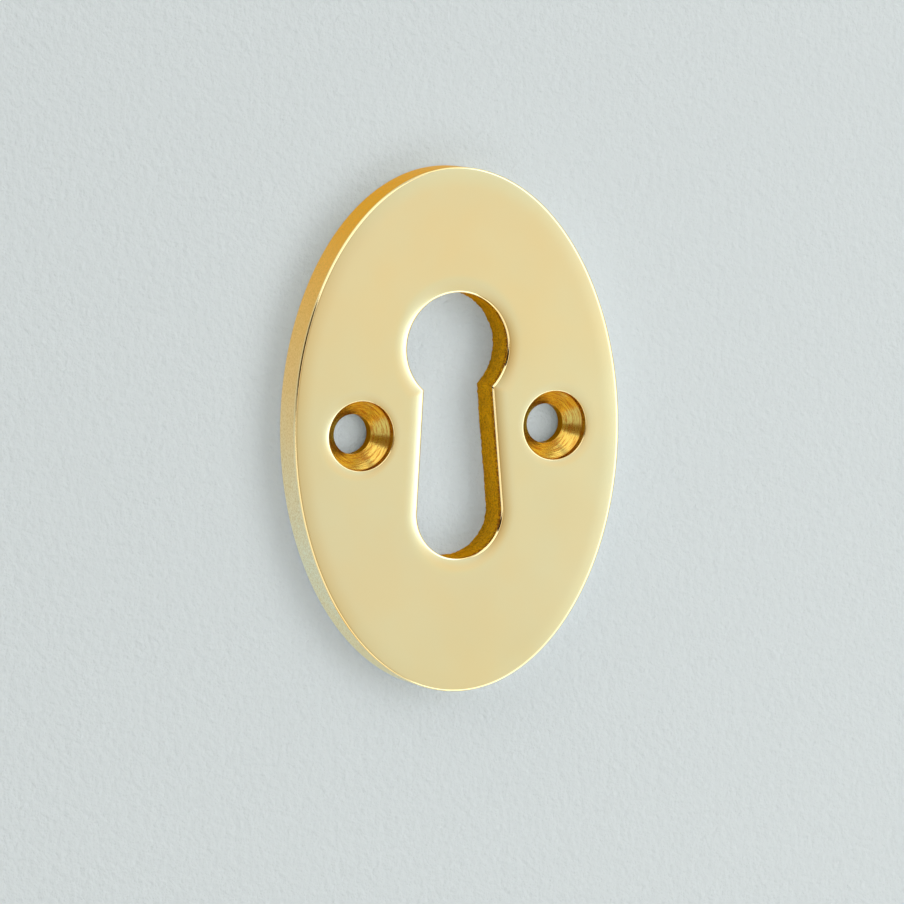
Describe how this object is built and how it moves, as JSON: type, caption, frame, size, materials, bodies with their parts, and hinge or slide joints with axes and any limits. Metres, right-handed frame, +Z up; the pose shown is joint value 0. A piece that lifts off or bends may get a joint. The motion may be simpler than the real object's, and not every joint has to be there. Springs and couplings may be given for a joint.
{
  "type": "keyhole escutcheon",
  "caption": "Flat oval brass plate that frames a keyhole on a cabinet door or drawer front, with a sunk screw hole on each side.",
  "frame": {"origin": "midway between the two screw holes, on the back face that lies against the door", "axes": "+Z up along the long axis of the oval, +X to the right as seen from the front, +Y out of the back face into the door"},
  "size_m": [0.0338, 0.0037, 0.05],
  "materials": {
    "polished_brass": "polished front face, satin edge, cast keyhole wall"
  },
  "bodies": {
    "root": {"escutcheon_plate": "polished_brass"}
  },
  "joints": []
}
